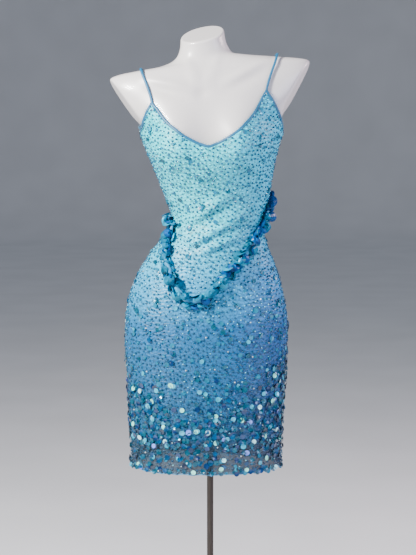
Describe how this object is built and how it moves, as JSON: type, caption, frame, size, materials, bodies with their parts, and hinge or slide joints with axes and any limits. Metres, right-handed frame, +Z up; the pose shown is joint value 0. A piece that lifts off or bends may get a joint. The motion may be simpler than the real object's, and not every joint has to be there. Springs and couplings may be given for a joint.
{
  "type": "sequin bodycon dress on a limbless dress form with a pole stand",
  "caption": "Knee-length sequinned bodycon slip dress with thin straps and a paillette swag, worn on a limbless white dress form on a pole and round base.",
  "frame": {"origin": "centre of the round base's underside, on the pole's axis", "axes": "+Z up along the pole; the dress faces -Y; +X is the viewer's right, the wearer's left"},
  "size_m": [0.4176, 0.36, 1.4221],
  "materials": {
    "lining": "smooth light blue slip lining",
    "net": "semi-sheer blue stretch net, sewn with beads and sequins",
    "paillettes": "large glossy paillettes in cyan, teal and navy",
    "binding": "satin rouleau binding, medium blue",
    "form": "smooth white satin shell",
    "dark_metal": "polished dark metal"
  },
  "bodies": {
    "root": {"lining_front": "lining", "lining_back": "lining", "bodice_front": "net", "bodice_back": "net", "skirt_front": "net", "skirt_back": "net", "swag_front": "paillettes", "swag_back": "paillettes", "hem_roll_front": "binding", "hem_roll_back": "binding", "neckline_binding": "binding", "back_neckline_binding": "binding", "armhole_binding_left": "binding", "armhole_binding_right": "binding", "strap_left": "binding", "strap_right": "binding", "form_torso": "form", "form_socket": "dark_metal", "stand_pole": "dark_metal", "stand_collar": "dark_metal", "stand_base": "dark_metal"}
  },
  "joints": []
}
